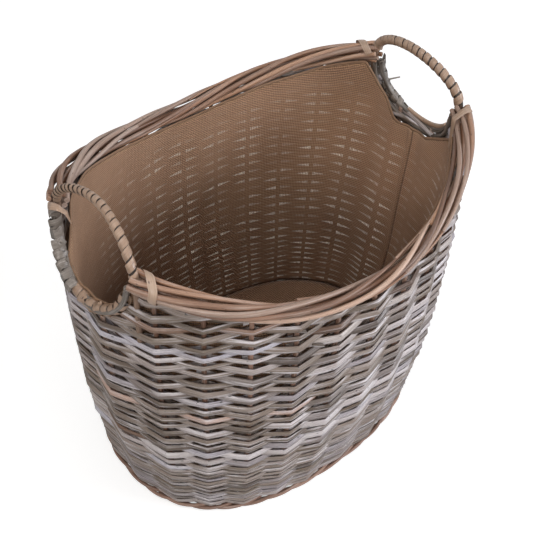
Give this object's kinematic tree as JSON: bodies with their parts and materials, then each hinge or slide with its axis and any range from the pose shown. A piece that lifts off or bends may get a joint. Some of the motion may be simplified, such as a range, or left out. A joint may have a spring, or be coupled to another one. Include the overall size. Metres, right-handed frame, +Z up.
{
  "type": "log carrier",
  "caption": "Oval woven willow log basket with a swooping twisted rim, wrapped bow handles over hand holes at both ends and a fitted hessian liner.",
  "frame": {"origin": "middle of the underside, on the floor", "axes": "+X along the basket towards the right-hand handle, +Y to the back long side, +Z up"},
  "size_m": [0.5124, 0.3898, 0.4894],
  "materials": {
    "grey_willow": "grey antique wash over peeled willow",
    "brown_willow": "brown rods under a thin wash",
    "rim_willow": "tan rods with a pinkish wash",
    "tan_skein": "split skein, slightly glossy",
    "grey_skein": "split skein with a grey wash",
    "split_willow": "bare split willow",
    "hessian": "coarse brown hessian, matt"
  },
  "bodies": {
    "root": {"foot_border": "brown_willow", "lower_siding": "grey_willow", "middle_siding": "grey_willow", "upper_siding": "grey_willow", "base_weave": "grey_willow", "base_long_stick_1": "split_willow", "base_long_stick_2": "split_willow", "base_long_stick_3": "split_willow", "base_cross_stick_1": "split_willow", "base_cross_stick_2": "split_willow", "base_cross_stick_3": "split_willow", "base_cross_stick_4": "split_willow", "stake_01": "brown_willow", "stake_02": "brown_willow", "stake_03": "brown_willow", "stake_04": "brown_willow", "stake_05": "brown_willow", "stake_06": "brown_willow", "stake_07": "brown_willow", "stake_08": "brown_willow", "stake_09": "brown_willow", "stake_10": "brown_willow", "stake_11": "brown_willow", "stake_12": "brown_willow", "stake_13": "brown_willow", "stake_14": "brown_willow", "stake_15": "brown_willow", "stake_16": "brown_willow", "stake_17": "brown_willow", "stake_18": "brown_willow", "stake_19": "brown_willow", "stake_20": "brown_willow", "stake_21": "brown_willow", "stake_22": "brown_willow", "stake_23": "brown_willow", "stake_24": "brown_willow", "stake_25": "brown_willow", "stake_26": "brown_willow", "rim_front_rod_1": "rim_willow", "rim_front_rod_2": "rim_willow", "rim_front_rod_3": "rim_willow", "rim_front_rod_4": "rim_willow", "rim_back_rod_1": "rim_willow", "rim_back_rod_2": "rim_willow", "rim_back_rod_3": "rim_willow", "rim_back_rod_4": "rim_willow", "bow_left": "split_willow", "bow_right": "split_willow", "bow_skein_left": "tan_skein", "bow_skein_right": "tan_skein", "hand_hole_rod_left": "grey_skein", "hand_hole_rod_right": "grey_skein", "hand_hole_skein_left": "grey_skein", "hand_hole_skein_right": "grey_skein", "lashing_front_left": "tan_skein", "lashing_front_right": "tan_skein", "lashing_back_left": "tan_skein", "lashing_back_right": "tan_skein", "liner_wall": "hessian", "liner_bottom": "hessian"}
  },
  "joints": []
}
